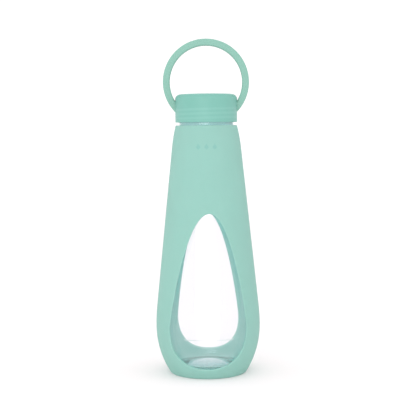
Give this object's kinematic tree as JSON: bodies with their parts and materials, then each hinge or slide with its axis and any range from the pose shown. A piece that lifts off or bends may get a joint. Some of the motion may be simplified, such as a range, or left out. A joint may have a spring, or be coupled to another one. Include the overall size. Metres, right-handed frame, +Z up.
{
  "type": "glass water bottle",
  "caption": "Tapered glass water bottle in a soft sleeve with teardrop windows, a screw lid and a round carry ring.",
  "frame": {"origin": "centre of the foot, on the surface that the bottle stands on", "axes": "+Z up the bottle's axis, -Y out of the front window, +X to the right of someone facing that window"},
  "size_m": [0.0834, 0.0786, 0.2661],
  "materials": {
    "clear_glass": "clear polished soda-lime glass, fire-polished rim",
    "sleeve_silicone": "mint silicone, soft matte moulded surface",
    "lid_plastic": "mint translucent polypropylene, satin",
    "liner_plastic": "mint translucent polypropylene, matte",
    "seal_silicone": "pale clear silicone, matte",
    "ring_plastic": "mint polypropylene, satin"
  },
  "bodies": {
    "bottle": {"glass_bottle": "clear_glass", "silicone_sleeve": "sleeve_silicone"},
    "seal": {"lid_gasket": "seal_silicone"},
    "lid": {"lid_shell": "lid_plastic", "lid_liner": "liner_plastic", "carry_ring": "ring_plastic"}
  },
  "joints": [
    {"name": "lid_lift", "type": "slide", "parent": "bottle", "child": "seal", "axis": [0, 0, 1], "range_m": [0, 0.0095]},
    {"name": "lid_turn", "type": "hinge", "parent": "seal", "child": "lid", "pos_m": [0, 0, 0.21], "axis": [0, 0, 1], "range_deg": [0, 990]}
  ],
  "couplings": [
    {"joint": "lid_lift", "follows": "lid_turn", "m_per_rad": 0.00054113}
  ]
}
